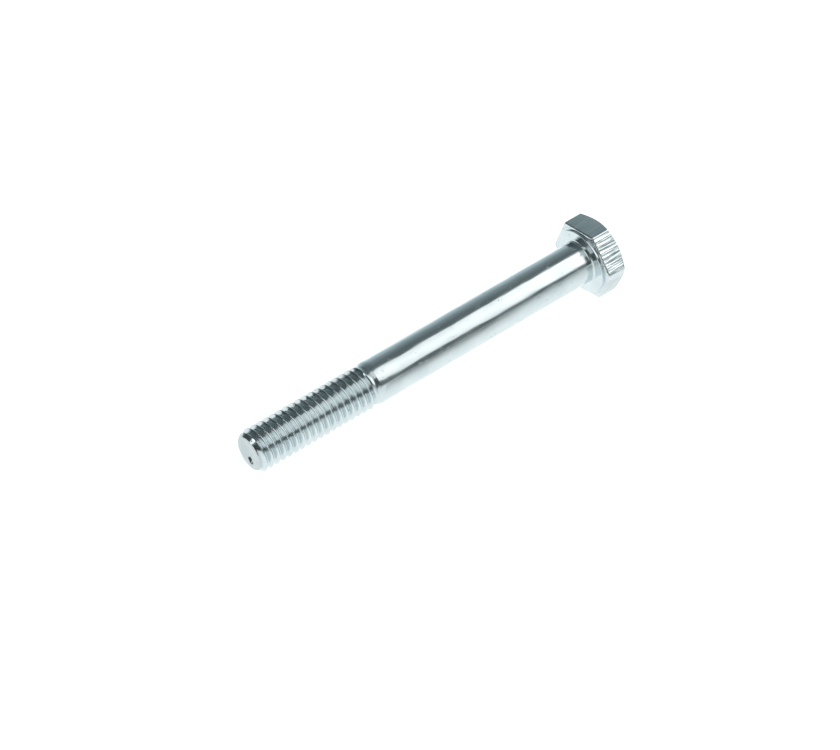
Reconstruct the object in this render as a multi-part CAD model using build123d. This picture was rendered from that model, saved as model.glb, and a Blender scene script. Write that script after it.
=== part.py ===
from build123d import *
import math
import os

# Hex bolt M6 x 55, partly threaded, with ISO 4014 proportions.
# The bolt lies along X. The origin is the centre of the bearing face under the head.
# The shank and the thread run towards +X and the head stands on the -X side.
# Two of the six flats face straight up and straight down (+Z and -Z).

# Driving dimensions, in millimetres
length = 55.0                 # from the bearing face to the tip face
shank_diameter = 5.97         # plain shank, between the head fillet and the thread
thread_pitch = 1.0            # M6 coarse, right-hand
thread_major = 5.9            # crest diameter, inside tolerance 6g
thread_minor = 4.75           # root diameter
thread_length = 18.6          # full thread, from the tip face towards the head
cone_length = 0.7             # from the rolling diameter up to the plain shank
tip_face_diameter = 4.7       # flat left inside the 45 degree point
tip_dish_diameter = 3.4       # shallow hollow that thread rolling leaves in the tip
tip_dish_depth = 0.15
across_flats = 9.85           # nominal 10 mm spanner size, less the usual allowance
head_height = 3.9             # from the bearing face to the top of the head
washer_face_diameter = 9.2
washer_face_height = 0.35
head_fillet = 0.3             # between the shank and the bearing face
corner_rounding = 0.35        # the six edges of the hexagon that run along the bolt
under_edge_rounding = 0.25    # lower outline of the hexagon, beside the washer face
top_chamfer_angle = 30.0
top_flat_diameter = 8.6       # circle where the chamfer meets the flat top

# Thread form: 60 degree flanks, flat crest, narrow flat root
crest_width = thread_pitch / 8
flank_angle = 30.0            # of each flank from the radial direction
overshoot = 0.3               # how far the cutter stands outside the crests
runout_turns = 1              # whole turns in which the groove climbs out at its inner end
runout_clearance = 0.1        # how far above the crests the climbing groove ends
turns_past_tip = 1            # whole turns by which the groove runs on past the tip

# Derived sizes
shank_radius = shank_diameter / 2
major_radius = thread_major / 2
minor_radius = thread_minor / 2
rolling_radius = (major_radius + minor_radius) / 2
thread_start = length - thread_length
corner_radius = across_flats / 2 / math.cos(math.radians(30))


def shaft_blank():
    """Shank, thread blank, fillet under the head, and point, turned about X."""
    tip_radius = tip_face_diameter / 2
    point_start = length - (major_radius - tip_radius)
    cone_start = thread_start - cone_length
    fillet_top = shank_radius + head_fillet
    base = -washer_face_height
    outline = Polyline(
        (cone_start, shank_radius),
        (thread_start, rolling_radius),
        (thread_start, major_radius),
        (point_start, major_radius),
        (length, tip_radius),
        (length, 0),
        (base, 0),
        (base, fillet_top),
        (0, fillet_top),
    )
    half_turn = math.radians(45)
    fillet_arc = ThreePointArc(
        (0, fillet_top),
        (head_fillet * (1 - math.sin(half_turn)), fillet_top - head_fillet * math.cos(half_turn)),
        (head_fillet, shank_radius),
    )
    shank_line = Line((head_fillet, shank_radius), (cone_start, shank_radius))
    section = make_face([*outline.edges(), fillet_arc.edge(), shank_line.edge()])
    return revolve(section, Axis.X)


def tip_dish():
    """A shallow spherical hollow in the tip face."""
    rim = tip_dish_diameter / 2
    radius = (rim**2 + tip_dish_depth**2) / (2 * tip_dish_depth)
    return Pos(length - tip_dish_depth + radius, 0, 0) * Sphere(radius)


def cutter_section(root_radius):
    """The groove's section beside the axis Z: a V with a flat root and straight sides."""
    depth = major_radius - minor_radius
    half_mouth = (thread_pitch - crest_width) / 2
    half_root = half_mouth - depth * math.tan(math.radians(flank_angle))
    corners = [
        (root_radius, -half_root),
        (root_radius + depth, -half_mouth),
        (root_radius + depth + overshoot, -half_mouth),
        (root_radius + depth + overshoot, half_mouth),
        (root_radius + depth, half_mouth),
        (root_radius, half_root),
    ]
    return corners


def groove_sweep(start_height, height, root_radius, cone_angle):
    """The groove's section swept along a right-hand helix about Z."""
    path = Helix(
        thread_pitch, height, root_radius, center=(0, 0, start_height), cone_angle=cone_angle
    )
    corners = cutter_section(root_radius)
    section = Plane.XZ * make_face(Polyline(*corners, close=True).edges())
    return sweep(Pos(0, 0, start_height) * section, path, is_frenet=True)


def thread_groove():
    """The groove along X, in two solids: the even part, and the turn that climbs out."""
    climb = major_radius - minor_radius + runout_clearance
    runout = runout_turns * thread_pitch
    climb_angle = math.degrees(math.atan2(climb, runout))
    even_height = thread_length + turns_past_tip * thread_pitch
    even = groove_sweep(thread_start, even_height, minor_radius, 0)
    fading = groove_sweep(thread_start - runout, runout, minor_radius + climb, -climb_angle)
    return [Rot(0, 90, 0) * even, Rot(0, 90, 0) * fading]


def head():
    """Hexagon with rounded edges, 30 degree top chamfer and a round washer face."""
    hexagon = Plane.YZ * RegularPolygon(corner_radius, 6)
    body = extrude(Pos(-head_height, 0, 0) * hexagon, head_height - washer_face_height)
    body = fillet(body.edges().filter_by(Axis.X), corner_rounding)
    under = body.faces().sort_by(Axis.X)[-1]
    body = fillet(under.edges(), under_edge_rounding)
    outside = corner_radius + 1
    drop = (outside - top_flat_diameter / 2) * math.tan(math.radians(top_chamfer_angle))
    envelope = make_face(
        Polyline(
            (-head_height, 0),
            (-head_height, top_flat_diameter / 2),
            (-head_height + drop, outside),
            (0, outside),
            (0, 0),
            close=True,
        ).edges()
    )
    body = body & revolve(envelope, Axis.X)
    disc = Plane.YZ * Circle(washer_face_diameter / 2)
    washer_face = extrude(Pos(-washer_face_height, 0, 0) * disc, washer_face_height)
    return body + washer_face


def hex_bolt():
    """One cold-forged piece: head, shank and rolled thread."""
    shaft = shaft_blank() - tip_dish()
    for groove in thread_groove():
        shaft = shaft - groove
    return head() + shaft


os.makedirs("parts", exist_ok=True)
bolt = hex_bolt()
export_step(bolt, "parts/hex_bolt.step")
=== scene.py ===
import math
import random

import bmesh
import bpy
from mathutils import Matrix, Vector


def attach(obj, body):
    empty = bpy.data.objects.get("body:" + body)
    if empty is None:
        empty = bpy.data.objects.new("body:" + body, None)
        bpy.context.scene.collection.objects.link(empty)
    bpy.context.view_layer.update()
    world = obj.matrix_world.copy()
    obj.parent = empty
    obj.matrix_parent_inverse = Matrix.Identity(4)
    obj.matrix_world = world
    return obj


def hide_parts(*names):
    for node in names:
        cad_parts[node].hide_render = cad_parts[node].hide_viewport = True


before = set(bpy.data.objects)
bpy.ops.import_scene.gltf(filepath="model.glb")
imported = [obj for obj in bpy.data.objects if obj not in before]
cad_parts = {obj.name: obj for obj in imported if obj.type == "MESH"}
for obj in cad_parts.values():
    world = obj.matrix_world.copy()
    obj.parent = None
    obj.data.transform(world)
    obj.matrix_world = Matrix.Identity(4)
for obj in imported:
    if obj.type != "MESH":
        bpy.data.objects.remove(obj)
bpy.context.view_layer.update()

mm = 0.001
fullTurn = 2 * math.pi
mergeGap = 0.001 * mm     # vertices closer than this are one
cutGap = 0.00001 * mm     # a vertex this near a cut counts as lying on it
planeGap = 0.002          # mm; a vertex this near a plane counts as lying on it
sameWay = 0.9999          # cosine above which two directions count as one
smoothAngle = math.radians(28)
cornerHalf = math.radians(30)    # half of the turn at a corner of the hexagon


def nothingSelected():
    if bpy.context.object and bpy.context.object.mode != "OBJECT":
        bpy.ops.object.mode_set(mode="OBJECT")
    bpy.ops.object.select_all(action="DESELECT")


def makeActive(piece):
    nothingSelected()
    piece.select_set(True)
    bpy.context.view_layer.objects.active = piece


def edit(piece):
    makeActive(piece)
    bpy.ops.object.mode_set(mode="EDIT")


def pick(piece, kind, wanted):
    # selects the vertices, edges or faces of the edited piece for which wanted is true
    bpy.ops.mesh.select_mode(type=kind)
    bpy.ops.mesh.select_all(action="DESELECT")
    mesh = bmesh.from_edit_mesh(piece.data)
    mesh.normal_update()
    parts = {"VERT": mesh.verts, "EDGE": mesh.edges, "FACE": mesh.faces}[kind]
    found = [part for part in parts if wanted(part)]
    for part in found:
        part.select = True
    mesh.select_flush_mode()
    bmesh.update_edit_mesh(piece.data)


def liesOn(x, gap):
    # true for an edge or face with every vertex within gap of the plane at x, both in mm
    return lambda part: all(abs(v.co.x - x * mm) < gap * mm for v in part.verts)


def useModifier(piece, kind, **values):
    makeActive(piece)
    modifier = piece.modifiers.new(kind.title(), kind)
    for name, value in values.items():
        setattr(modifier, name, value)
    bpy.ops.object.modifier_apply(modifier=modifier.name)


def outline(name, points):
    # a chain of edges in the XY plane through (x, radius) points, ready to turn about X
    bpy.ops.mesh.primitive_plane_add(size=mm)
    piece = bpy.context.object
    piece.name = name
    edit(piece)
    bpy.ops.mesh.delete(type="VERT")
    mesh = bmesh.from_edit_mesh(piece.data)
    corners = [mesh.verts.new((x * mm, r * mm, 0)) for x, r in points]
    for first, second in zip(corners, corners[1:]):
        mesh.edges.new((first, second))
    bmesh.update_edit_mesh(piece.data)
    bpy.ops.object.mode_set(mode="OBJECT")
    return piece


def ringAt(piece, x):
    # selects the open rim that lies on the plane at x
    onPlane = liesOn(x, planeGap)
    pick(piece, "EDGE", lambda edge: edge.is_boundary and onPlane(edge))


def pullRing(fromX, toX, scale):
    # extrudes the selected rim along the axis and scales it about the axis
    bpy.ops.mesh.extrude_edges_move(
        TRANSFORM_OT_translate={"value": ((toX - fromX) * mm, 0, 0)})
    bpy.ops.transform.resize(value=(1, scale, scale), center_override=(0, 0, 0))


def smoothStep(low, high, value):
    t = min(max((value - low) / (high - low), 0), 1)
    return t * t * (3 - 2 * t)


def softMin(first, second, softness):
    # the smaller value, with the corner between the two rounded off
    near = max(softness - abs(first - second), 0) / softness
    return min(first, second) - near * near * softness / 4


# The shaft, lengths in mm: rolled thread, run-out cone, plain shank, fillet and washer face.
shaftSizes = {
    "length": 55.0,
    "shankRadius": 2.985,
    "shankRings": 48,
    "crestRadius": 2.95,
    "crestFlat": 0.11,
    "crestSoftness": 0.045,
    "rootRadius": 2.375,
    "rootRound": 0.18,
    "rootLift": 0.045,
    "pitch": 1.0,
    "profile": [0, 0.015, 0.03, 0.043, 0.055, 0.067, 0.08,      # crest, in parts of a pitch
                0.1, 0.16, 0.24, 0.32, 0.41, 0.45, 0.475],      # flank and root
    "stepsPerTurn": 96,
    "threadStart": 36.4,
    "coneStart": 35.7,
    "runOut": (-0.45, 0.75),      # where the groove fades, measured from the thread's start
    "rollingRadius": 2.66,
    "tipRadius": 2.35,
    "tipRings": 22,
    "pointSoftness": 0.1,
    "dishRadius": 1.75,
    "dishDepth": 0.15,
    "dentPlace": (-0.2, -1.15),   # y and z of the dent in the tip's face
    "dentHalf": (0.62, 0.24),
    "dentSlant": 0.7,             # about the cosine of 45 degrees, as the dent lies aslant
    "dentDepth": 0.42,
    "filletRadius": 0.3,
    "filletSteps": 8,
    "washerRadius": 4.6,
    "washerHeight": 0.35,
    "washerMargin": 0.03,         # of the extra rings at both edges of the washer face
    "washerEdge": 0.09,
    "washerEdgeSteps": 4,
    "rimRise": 0.015,             # the washer's last ring stands this far above the hexagon
}


def threadRadius(t):
    # radius across one pitch; t runs 0 to 1 and the groove is in the middle
    s = shaftSizes
    rootHalf = s["rootRound"] / 2
    crestStart = (s["pitch"] - s["crestFlat"]) / 2
    low = s["rootRadius"] + s["rootLift"]
    fromRoot = abs(t - 0.5) * s["pitch"]
    if fromRoot <= rootHalf:
        return s["rootRadius"] + s["rootLift"] * (fromRoot / rootHalf) ** 2
    flank = low + (s["crestRadius"] - low) * (fromRoot - rootHalf) / (crestStart - rootHalf)
    return softMin(flank, s["crestRadius"], s["crestSoftness"])


def makeThread():
    # one pitch is screwed along the axis, then both ends are cut off square
    s = shaftSizes
    firstX = s["threadStart"] - 2 * s["pitch"]
    half = s["profile"]
    stops = half + [0.5] + [1 - t for t in reversed(half)]
    thread = outline("thread", [(firstX + t * s["pitch"], threadRadius(t)) for t in stops])
    turns = round(s["length"] - firstX) + 2
    useModifier(thread, "SCREW", axis="X", angle=fullTurn, screw_offset=s["pitch"] * mm,
                iterations=turns, steps=s["stepsPerTurn"], render_steps=s["stepsPerTurn"])
    edit(thread)
    bpy.ops.mesh.select_all(action="SELECT")
    bpy.ops.mesh.remove_doubles(threshold=mergeGap)
    for x, tipEnd in ((s["coneStart"], False), (s["length"], True)):
        bpy.ops.mesh.select_all(action="SELECT")
        bpy.ops.mesh.bisect(plane_co=(x * mm, 0, 0), plane_no=(1, 0, 0),
                            clear_inner=not tipEnd, clear_outer=tipEnd, threshold=cutGap)
    bpy.ops.object.mode_set(mode="OBJECT")
    return thread


def fitThreadEnds(thread):
    # the groove climbs out into the cone at one end, and the point cuts it at the other
    s = shaftSizes
    slope = (s["shankRadius"] - s["rollingRadius"]) / (s["threadStart"] - s["coneStart"])
    fadeFrom, fadeTo = (s["threadStart"] + place for place in s["runOut"])
    for vertex in thread.data.vertices:
        x = vertex.co.x / mm
        radius = math.hypot(vertex.co.y, vertex.co.z) / mm
        blank = s["rollingRadius"]
        if x < s["threadStart"]:
            blank = s["shankRadius"] - slope * (x - s["coneStart"])
        wanted = blank + (radius - s["rollingRadius"]) * smoothStep(fadeFrom, fadeTo, x)
        point = s["tipRadius"] + s["length"] - x
        wanted = softMin(wanted, point, s["pointSoftness"])
        vertex.co.y *= wanted / radius
        vertex.co.z *= wanted / radius


def addShank(shaft):
    s = shaftSizes
    ringAt(shaft, s["coneStart"])
    x, radius = s["coneStart"], s["shankRadius"]
    for n in range(1, s["shankRings"] + 1):
        nextX = s["coneStart"] + (s["filletRadius"] - s["coneStart"]) * n / s["shankRings"]
        pullRing(x, nextX, 1)
        x = nextX
    # fillet up to the washer face
    centreRadius = s["shankRadius"] + s["filletRadius"]
    for n in range(1, s["filletSteps"] + 1):
        angle = math.pi / 2 * n / s["filletSteps"]
        nextX = s["filletRadius"] * (1 - math.sin(angle))
        nextRadius = centreRadius - s["filletRadius"] * math.cos(angle)
        pullRing(x, nextX, nextRadius / radius)
        x, radius = nextX, nextRadius
    # the flat washer face, its rounded rim, and the step down to the hexagon
    edge, margin = s["washerEdge"], s["washerMargin"]
    flatRadius = s["washerRadius"] - edge
    for nextRadius in (radius + margin, (radius + flatRadius) / 2, flatRadius - margin, flatRadius):
        pullRing(x, 0, nextRadius / radius)
        x, radius = 0, nextRadius
    for n in range(1, s["washerEdgeSteps"] + 1):
        angle = math.pi / 2 * n / s["washerEdgeSteps"]
        nextX = -edge * (1 - math.cos(angle))
        nextRadius = flatRadius + edge * math.sin(angle)
        pullRing(x, nextX, nextRadius / radius)
        x, radius = nextX, nextRadius
    pullRing(x, s["rimRise"] - s["washerHeight"], 1)


def addTip(shaft):
    # flat rim, then the shallow dish, closed at its middle
    s = shaftSizes
    ringAt(shaft, s["length"])
    x, radius = s["length"], s["tipRadius"]
    for n in range(1, s["tipRings"]):
        nextRadius = s["tipRadius"] * (1 - n / s["tipRings"])
        hollow = max(1 - (nextRadius / s["dishRadius"]) ** 2, 0)
        nextX = s["length"] - s["dishDepth"] * hollow
        pullRing(x, nextX, nextRadius / radius)
        x, radius = nextX, nextRadius
    bpy.ops.mesh.merge(type="COLLAPSE")


def dentTip(bolt):
    # the small dent that the wire's cut end leaves below the middle of the tip
    s = shaftSizes
    halfLong, halfShort = s["dentHalf"]
    faceX = s["length"] - 2 * s["dishDepth"]
    faceRadius = s["tipRadius"] - s["pointSoftness"]
    for vertex in bolt.data.vertices:
        x, y, z = (c / mm for c in vertex.co)
        if x > faceX and math.hypot(y, z) < faceRadius:
            y, z = y - s["dentPlace"][0], z - s["dentPlace"][1]
            along = (y - z) * s["dentSlant"] / halfLong
            across = (y + z) * s["dentSlant"] / halfShort
            vertex.co.x -= s["dentDepth"] * math.exp(-along * along - across * across) * mm


# The head, lengths in mm: a hexagon with rounded corners and a turned chamfer round its top.
headSizes = {
    "acrossFlats": 9.85,
    "height": 3.9,
    "cornerRadius": 0.35,
    "cornerSegments": 7,
    "underEdge": 0.25,
    "underEdgeSegments": 6,
    "topFlatRadius": 4.3,
    "topEdge": 0.08,
    "topEdgeBend": (0.3, 0.1),     # the middle point of that edge, in shares of its size
    "chamferAngle": math.radians(30),
    "chamferSteps": 240,
    "coneMargin": 1,              # how far the cutting cone stands outside the hexagon
    "markSeed": 5,
    "markWidth": 0.24,
    "markSpread": (0.45, 1.1),    # the least share of the width, and how much chance adds
    "markDepth": 0.032,
    "topFlankShare": 0.15,        # the upper flat is smoother than the others
}


def makeChamferCone(topX, reach):
    # the chamfer is turned, so a cone cuts it
    s = headSizes
    edge, flat, margin = s["topEdge"], s["topFlatRadius"], s["coneMargin"]
    slope = math.tan(s["chamferAngle"])
    outside = reach + margin
    bendX, bendOut = s["topEdgeBend"]
    cone = outline("chamferCone", [
        (topX, 0),
        (topX, flat - edge),
        (topX + edge * slope * bendX, flat - edge * bendOut),
        (topX + edge * slope, flat + edge),
        (topX + (outside - flat) * slope, outside),
        (margin, outside),
        (margin, 0)])
    edit(cone)
    bpy.ops.mesh.select_all(action="SELECT")
    bpy.ops.mesh.spin(steps=s["chamferSteps"], angle=fullTurn, center=(0, 0, 0), axis=(1, 0, 0))
    bpy.ops.mesh.select_all(action="SELECT")
    bpy.ops.mesh.remove_doubles(threshold=mergeGap / 2)
    bpy.ops.mesh.normals_make_consistent(inside=False)
    return cone


def scoreFlanks(head):
    # trimming leaves fine lines along each flank; they are shallow cuts of uneven depth
    s = headSizes
    dice = random.Random(s["markSeed"])
    flankReach = s["acrossFlats"] / 2
    half = s["acrossFlats"] / 2 * math.tan(cornerHalf) - s["cornerRadius"]
    least, chance = s["markSpread"]
    edit(head)
    for side in range(6):
        angle = math.radians(60 * side)
        normal = Vector((0, math.sin(angle), math.cos(angle)))
        along = Vector((0, math.cos(angle), -math.sin(angle)))
        share = s["topFlankShare"] if side == 0 else 1
        place = -half
        cuts = {}
        while place < half:
            cuts[round(place, 3)] = dice.random() * s["markDepth"] * share
            pick(head, "FACE", lambda f: f.normal.dot(normal) > sameWay)
            bpy.ops.mesh.bisect(plane_co=along * place * mm, plane_no=along, threshold=cutGap)
            place += s["markWidth"] * (least + chance * dice.random())
        mesh = bmesh.from_edit_mesh(head.data)
        for vertex in mesh.verts:
            onFlank = abs(vertex.co.dot(normal) / mm - flankReach) < planeGap
            depth = cuts.get(round(vertex.co.dot(along) / mm, 3))
            if onFlank and depth is not None:
                vertex.co -= normal * depth * mm
        bmesh.update_edit_mesh(head.data)
    bpy.ops.object.mode_set(mode="OBJECT")


def makeHead():
    s = headSizes
    topX, baseX = -s["height"], -shaftSizes["washerHeight"]
    reach = s["acrossFlats"] / 2 / math.cos(cornerHalf)
    bpy.ops.mesh.primitive_cylinder_add(
        vertices=6, radius=reach * mm, depth=(baseX - topX) * mm,
        location=((baseX + topX) / 2 * mm, 0, 0), rotation=(0, math.pi / 2, 0))
    head = bpy.context.object
    head.name = "head"
    makeActive(head)
    bpy.ops.object.transform_apply(location=True, rotation=True, scale=True)
    edit(head)
    pick(head, "EDGE", lambda e: abs(e.verts[0].co.x - e.verts[1].co.x) > mm)
    bpy.ops.mesh.bevel(offset=s["cornerRadius"] * math.tan(cornerHalf) * mm, offset_type="OFFSET",
                       segments=s["cornerSegments"], affect="EDGES")
    pick(head, "EDGE", liesOn(baseX, 0.01))
    bpy.ops.mesh.bevel(offset=s["underEdge"] * mm, offset_type="OFFSET",
                       segments=s["underEdgeSegments"], affect="EDGES")
    bpy.ops.object.mode_set(mode="OBJECT")
    cone = makeChamferCone(topX, reach)
    useModifier(head, "BOOLEAN", operation="INTERSECT", object=cone, solver="EXACT")
    bpy.data.objects.remove(cone)
    scoreFlanks(head)
    return head


def joinHead(head, shaft):
    # the hexagon's base is opened and bridged to the washer's last ring
    edit(head)
    pick(head, "FACE", liesOn(-shaftSizes["washerHeight"], 0.001))
    bpy.ops.mesh.delete(type="FACE")
    nothingSelected()
    head.select_set(True)
    shaft.select_set(True)
    bpy.context.view_layer.objects.active = shaft
    bpy.ops.object.join()
    edit(shaft)
    pick(shaft, "EDGE", lambda e: e.is_boundary)
    bpy.ops.mesh.bridge_edge_loops()
    bpy.ops.mesh.select_all(action="SELECT")
    bpy.ops.mesh.normals_make_consistent(inside=False)
    bpy.ops.object.mode_set(mode="OBJECT")


def makeBolt():
    bolt = makeThread()
    fitThreadEnds(bolt)
    edit(bolt)
    addShank(bolt)
    addTip(bolt)
    bpy.ops.object.mode_set(mode="OBJECT")
    dentTip(bolt)
    joinHead(makeHead(), bolt)
    bolt.name = "hexBolt"
    bolt.data.name = "hexBolt"
    makeActive(bolt)
    bpy.ops.object.shade_smooth_by_angle(angle=smoothAngle)
    return bolt


bolt = makeBolt()
print("bolt", len(bolt.data.vertices), "vertices", len(bolt.data.polygons), "faces")


def addNode(tree, kind, inputs, **settings):
    # a shader node; an input is either another node's output or a plain value
    node = tree.nodes.new("ShaderNode" + kind)
    for name, value in settings.items():
        setattr(node, name, value)
    for name, value in inputs.items():
        if isinstance(value, bpy.types.NodeSocket):
            tree.links.new(value, node.inputs[name])
        else:
            node.inputs[name].default_value = value
    return node


def mapped(tree, value, low, high, toLow=0, toHigh=1):
    return addNode(tree, "MapRange", {
        "Value": value, "From Min": low, "From Max": high,
        "To Min": toLow, "To Max": toHigh}).outputs["Result"]


def combined(tree, operation, *values):
    return addNode(tree, "Math", dict(enumerate(values)), operation=operation).outputs["Value"]


def mixed(tree, blend, amount, first, second):
    return addNode(tree, "Mix", {"Factor": amount, "A": first, "B": second},
                   data_type="RGBA", blend_type=blend).outputs["Result"]


def graded(tree, value, stops):
    # a colour ramp through (place, colour) stops
    ramp = addNode(tree, "ValToRGB", {"Fac": value})
    elements = ramp.color_ramp.elements
    while len(elements) < len(stops):
        elements.new(0.5)
    for element, (place, colour) in zip(elements, stops):
        element.position = place
    for element, (place, colour) in zip(elements, stops):
        element.color = (*colour, 1)
    return ramp.outputs["Color"]


def splitPlace(tree, place):
    return addNode(tree, "SeparateXYZ", {"Vector": place}).outputs


# Bright zinc. A pattern is its scale, its stretch and its detail; heights are in mm.
zincLook = {
    "cloud": (260, (1, 1, 1), 6),
    "cloudColours": [(0.35, (0.63, 0.71, 0.73)), (0.68, (0.71, 0.78, 0.79))],
    "haze": (900, (0.35, 1, 1), 8),
    "roughness": [(0.3, (0.12, 0.12, 0.12)), (0.75, (0.22, 0.22, 0.22))],
    "waves": (520, (0.22, 1, 1), 2),
    "waveHeight": 0.07,
    "grain": (2600, (0.2, 1, 1), 4),
    "grainHeight": 0.03,
    "grainStrength": 0.12,
    "nicks": (2300, (0.6, 1, 1), 3),
    "nickSpan": (0.68, 0.74),
    "nickHeight": 0.015,
    "nickShade": 0.72,
    "trimming": (3800, (0.06, 1, 1), 2),
    "trimmingHeight": 0.09,
    "trimmingFrom": (4.84, 4.88),     # the hexagon lies farther from the axis than this
    "upperFlat": (4.2, 4.7),          # heights between which the trimming lines fade
    "upperFlatShare": 0.15,
    # painted shade in the thread's valleys: radii between which the base colour darkens towards the
    # root
    "valleySpan": (2.4, 2.85),
    "valleyPaintedShade": 0.9,
    "threadFrom": (35.7, 36.2),
    "tipFaceFrom": (54.7, 54.8),
    "tipFaceShade": 0.86,
}


def makeZinc():
    s = zincLook
    zinc = bpy.data.materials.new("brightZinc")
    zinc.use_nodes = True
    tree = zinc.node_tree
    shader = tree.nodes["Principled BSDF"]
    shader.inputs["Metallic"].default_value = 1.0
    place = tree.nodes.new("ShaderNodeTexCoord").outputs["Object"]
    ends = splitPlace(tree, place)
    flattened = addNode(tree, "VectorMath", {0: place, 1: (0, 1, 1)}, operation="MULTIPLY")
    radius = addNode(tree, "VectorMath", {0: flattened.outputs["Vector"]}, operation="LENGTH")
    radius = radius.outputs["Value"]

    def between(value, span, toLow, toHigh):
        return mapped(tree, value, span[0] * mm, span[1] * mm, toLow, toHigh)

    def pattern(name):
        scale, stretch, detail = s[name]
        stretched = addNode(tree, "Mapping", {"Vector": place, "Scale": stretch})
        return addNode(tree, "TexNoise", {
            "Vector": stretched.outputs["Vector"], "Scale": scale, "Detail": detail}).outputs["Fac"]

    def bumped(height, distance, strength, *normal):
        inputs = {"Height": height, "Distance": distance * mm, "Strength": strength}
        if normal:
            inputs["Normal"] = normal[0]
        return addNode(tree, "Bump", inputs).outputs["Normal"]

    def tinted(colour, amount):
        return mixed(tree, "MULTIPLY", 1.0, colour, amount)

    # painted shade darkens the thread's valleys towards the root; the cut face of the tip is a
    # little duller
    paintedValleyShade = between(radius, s["valleySpan"], s["valleyPaintedShade"], 1)
    paintedValleyShade = combined(tree, "MAXIMUM", paintedValleyShade, between(ends["X"], s["threadFrom"], 1, 0))
    tipFace = between(ends["X"], s["tipFaceFrom"], 1, s["tipFaceShade"])
    valleyShadeAndDullTip = combined(tree, "MULTIPLY", paintedValleyShade, tipFace)
    # sparse small nicks; the value is 0 inside a nick
    nicks = mapped(tree, pattern("nicks"), *s["nickSpan"], 1, 0)
    nickShade = mapped(tree, nicks, 0, 1, s["nickShade"], 1)
    cloud = graded(tree, pattern("cloud"), s["cloudColours"])
    tree.links.new(tinted(tinted(cloud, valleyShadeAndDullTip), nickShade), shader.inputs["Base Color"])
    tree.links.new(graded(tree, pattern("haze"), s["roughness"]), shader.inputs["Roughness"])
    # slow waves along the wire, fine grain, the nicks, and trimming lines on the hexagon only
    normal = bumped(pattern("waves"), s["waveHeight"], 1)
    normal = bumped(pattern("grain"), s["grainHeight"], s["grainStrength"], normal)
    normal = bumped(nicks, s["nickHeight"], 1, normal)
    onHexagon = between(radius, s["trimmingFrom"], 0, 1)
    belowTop = between(ends["Z"], s["upperFlat"], 1, s["upperFlatShare"])
    where = combined(tree, "MULTIPLY", onHexagon, belowTop)
    trimming = combined(tree, "MULTIPLY", pattern("trimming"), where)
    normal = bumped(trimming, s["trimmingHeight"], 1, normal)
    tree.links.new(normal, shader.inputs["Normal"])
    return zinc


bolt.data.materials.clear()
bolt.data.materials.append(makeZinc())
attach(bolt, "root")
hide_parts("hex_bolt")
print("zinc finish on", bolt.name)

# The camera looks down at the bolt from its tip's side. Lengths are in mm, angles in degrees.
cameraSizes = {
    "aim": (28.84, 1.55, -1.73),
    "distance": 410.8,
    "azimuth": 147.1,
    "elevation": 37.1,
    "roll": -9.0,
    "lens": 136.0,
    "sensor": 36,
    "clip": (0.01, 20),           # metres
}


def makeCamera():
    s = cameraSizes
    a, e = math.radians(s["azimuth"]), math.radians(s["elevation"])
    back = Vector((math.sin(a) * math.cos(e), -math.cos(a) * math.cos(e), math.sin(e)))
    data = bpy.data.cameras.new("camera")
    data.lens = s["lens"]
    data.sensor_width = s["sensor"]
    data.clip_start, data.clip_end = s["clip"]
    camera = bpy.data.objects.new("camera", data)
    bpy.context.collection.objects.link(camera)
    turn = (-back).to_track_quat("-Z", "Y").to_matrix().to_4x4()
    roll = Matrix.Rotation(math.radians(s["roll"]), 4, "Z")
    place = Matrix.Translation((Vector(s["aim"]) + back * s["distance"]) * mm)
    camera.matrix_world = place @ turn @ roll
    bpy.context.scene.camera = camera


makeCamera()

# The stage, lengths in metres. Each list gives brightness at places that run from 0 to 1 across
# a part: up the sky for the room, from back to front for the painted floor shade seen in
# reflections, and up each softbox.
stageSizes = {
    "size": 6.0,
    "floorColour": (0.85, 0.85, 0.85, 1),
    "floorRoughness": 0.9,
    "floorGlow": 0.72,
    "floorDrop": 0.6,             # mm; times the rise, so the bolt clears the floor by a hair
    "roomTint": (0.83, 1.0, 1.05),
    "behind": [(0.0, 0.72), (0.3, 0.54), (0.53, 0.34), (0.70, 0.24), (0.81, 0.17), (0.9, 0.155)],
    "front": [(0.0, 0.13), (0.3, 0.16)],
    "pastHead": [(0.0, 0.8), (0.05, 0.7), (0.09, 0.15), (0.3, 0.16)],
    "pastTip": [(0.0, 0.3), (0.02, 0.12), (0.05, 0.06), (0.5, 0.09), (0.9, 0.17)],
    "pastHeadFrom": (-0.46, -0.5),
    "frontFrom": (-0.1, 0.3),
    "pastTipFrom": (0.1, 0.4),
    "sheetRise": 0.00004,
    "tableSpan": (-0.02, 0.1),
    "tableTint": (0.97, 1.0, 1.01),
    # painted shade of the floor as reflections see it, from back to front, with a paler version for
    # the slanted ends
    "paintedFloorShade": [(0.0, 1.13), (0.167, 1.15), (0.208, 1.08), (0.25, 0.87), (0.29, 0.66),
              (0.44, 0.38), (1.0, 0.17)],
    "paleFloorShade": [(0.0, 1.13), (0.208, 1.12), (0.29, 1.0), (1.0, 0.85)],
    "paleSlant": 0.5,
    "paleBeyond": (0.035, 0.04),
    "paleTowardsHead": (0.02, 0.012),
    "paleHeadShare": 0.45,
    "boltMiddle": (0.028, 0, 0),
}

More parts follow.
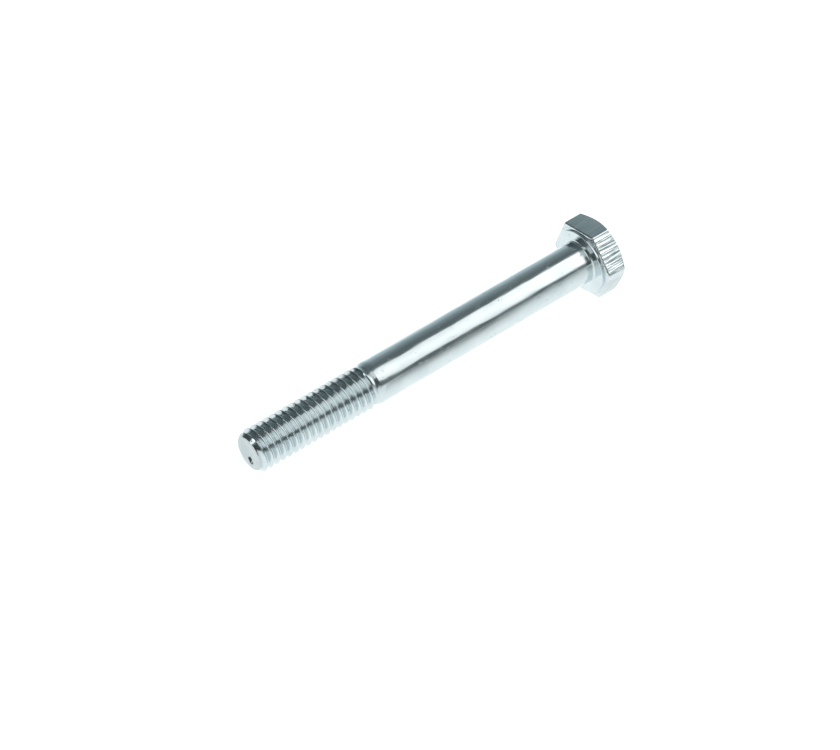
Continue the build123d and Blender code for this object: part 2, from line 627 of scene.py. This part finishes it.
softboxes = [
    {"name": "softbox", "from": (-0.51, 0.518, 0.687), "up": (0, -0.8, 0.6),
     "half": (0.5, 0.372), "distance": 0.6, "glow": 2.05,
     "height": [(0.03, 0.05), (0.055, 0.5), (0.5, 0.7), (1.0, 0.5)]},
    {"name": "sideSoftbox", "from": (-0.645, 0.42, 0.62), "up": (0, -0.8, 0.6),
     "half": (0.065, 0.25), "distance": 0.55, "glow": 2.4,
     "height": [(0.0, 1.0), (1.0, 1.0)]},
    {"name": "frontSoftbox", "from": (0.433, 0.308, 0.847), "up": (0, -0.94, 0.34),
     "half": (0.1, 0.19), "distance": 0.6, "glow": 0.85,
     "height": [(0.0, 1.0), (1.0, 1.0)]},
    {"name": "tipSoftbox", "from": (0.82, -0.18, 0.55), "up": (0, 0, 1),
     "half": (0.05, 0.08), "distance": 0.6, "glow": 2.4,
     "height": [(0.0, 1.0), (1.0, 1.0)]},
]


def greys(tree, value, stops, tint=(1, 1, 1)):
    return graded(tree, value, [(place, [level * part for part in tint]) for place, level in stops])


def objectPlace(tree):
    return splitPlace(tree, tree.nodes.new("ShaderNodeTexCoord").outputs["Object"])


def glowMaterial(name):
    glow = bpy.data.materials.new(name)
    glow.use_nodes = True
    nodes = glow.node_tree.nodes
    nodes.clear()
    out = nodes.new("ShaderNodeOutputMaterial")
    emission = nodes.new("ShaderNodeEmission")
    glow.node_tree.links.new(emission.outputs[0], out.inputs["Surface"])
    return glow, emission


def makeFloor():
    # it lies within 0.05 mm of the hexagon's lower flat and of the thread's end
    s = stageSizes
    low = headSizes["acrossFlats"] / 2
    rise = (low - shaftSizes["crestRadius"]) / shaftSizes["length"]
    bpy.ops.mesh.primitive_plane_add(size=s["size"])
    floor = bpy.context.object
    floor.name = "floor"
    floor.rotation_euler = (0, -math.atan(rise), 0)
    floor.location = (0, 0, -(low + rise * s["floorDrop"]) * mm)
    pale = bpy.data.materials.new("paleFloor")
    pale.use_nodes = True
    shader = pale.node_tree.nodes["Principled BSDF"]
    shader.inputs["Base Color"].default_value = s["floorColour"]
    shader.inputs["Roughness"].default_value = s["floorRoughness"]
    shader.inputs["Specular IOR Level"].default_value = 0.0
    shader.inputs["Emission Color"].default_value = (1, 1, 1, 1)
    shader.inputs["Emission Strength"].default_value = s["floorGlow"]
    floor.data.materials.append(pale)
    return floor


def makePaintedShadeSheet(floor):
    # a glowing sheet just above the floor that paints shade into the floor's reflection, darker in
    # front of the bolt; only reflections see it
    s = stageSizes
    bpy.ops.mesh.primitive_plane_add(size=s["size"])
    sheet = bpy.context.object
    sheet.name = "paintedShadeSheet"
    sheet.rotation_euler = floor.rotation_euler
    sheet.location = (0, 0, floor.location.z + s["sheetRise"])
    shade, emission = glowMaterial("tableShade")
    tree = shade.node_tree
    place = objectPlace(tree)
    across = mapped(tree, place["Y"], *s["tableSpan"])
    # reflections reach the sheet along slanted lines, so its pale ends are slanted as well
    slanted = combined(tree, "MULTIPLY_ADD", place["Y"], s["paleSlant"], place["X"])
    pale = combined(tree, "MAXIMUM", mapped(tree, slanted, *s["paleBeyond"]),
                    mapped(tree, slanted, *s["paleTowardsHead"], 0, s["paleHeadShare"]))
    # painted shade: the reflected floor darkens away in front of the bolt
    dark = greys(tree, across, s["paintedFloorShade"], s["tableTint"])
    light = greys(tree, across, s["paleFloorShade"], s["tableTint"])
    tree.links.new(mixed(tree, "MIX", pale, dark, light), emission.inputs["Color"])
    sheet.data.materials.append(shade)
    sheet.visible_camera = False
    sheet.visible_diffuse = False
    sheet.visible_shadow = False
    sheet.visible_transmission = False


def makeSoftbox(box):
    bpy.ops.mesh.primitive_plane_add(size=2)
    card = bpy.context.object
    card.name = box["name"]
    back = Vector(box["from"]).normalized()
    side = Vector(box["up"]).cross(back).normalized()
    up = back.cross(side)
    turn = Matrix((side, up, back)).transposed().to_4x4()
    place = Matrix.Translation(Vector(stageSizes["boltMiddle"]) + back * box["distance"])
    card.matrix_world = place @ turn @ Matrix.Diagonal((*box["half"], 1, 1))
    glow, emission = glowMaterial(box["name"])
    tree = glow.node_tree
    height = mapped(tree, objectPlace(tree)["Y"], -1, 1)
    tree.links.new(greys(tree, height, box["height"]), emission.inputs["Color"])
    emission.inputs["Strength"].default_value = box["glow"]
    card.data.materials.append(glow)
    card.visible_camera = False


def makeWorld():
    # pale low down behind the bolt and past its head; dark in front, past its tip and overhead
    s = stageSizes
    world = bpy.data.worlds.new("studio")
    bpy.context.scene.world = world
    world.use_nodes = True
    tree = world.node_tree
    towards = splitPlace(tree, tree.nodes.new("ShaderNodeTexCoord").outputs["Generated"])
    behind, front, pastHead, pastTip = (
        greys(tree, towards["Z"], s[part], s["roomTint"])
        for part in ("behind", "front", "pastHead", "pastTip"))
    front = mixed(tree, "MIX", mapped(tree, towards["X"], *s["pastHeadFrom"]), front, pastHead)
    sides = mixed(tree, "MIX", mapped(tree, towards["Y"], *s["frontFrom"]), behind, front)
    room = mixed(tree, "MIX", mapped(tree, towards["X"], *s["pastTipFrom"]), sides, pastTip)
    tree.links.new(room, tree.nodes["Background"].inputs["Color"])


makePaintedShadeSheet(makeFloor())
for box in softboxes:
    makeSoftbox(box)
makeWorld()
bpy.context.scene.view_settings.view_transform = "Standard"
print("camera, floor and lights", len(softboxes), "softboxes")
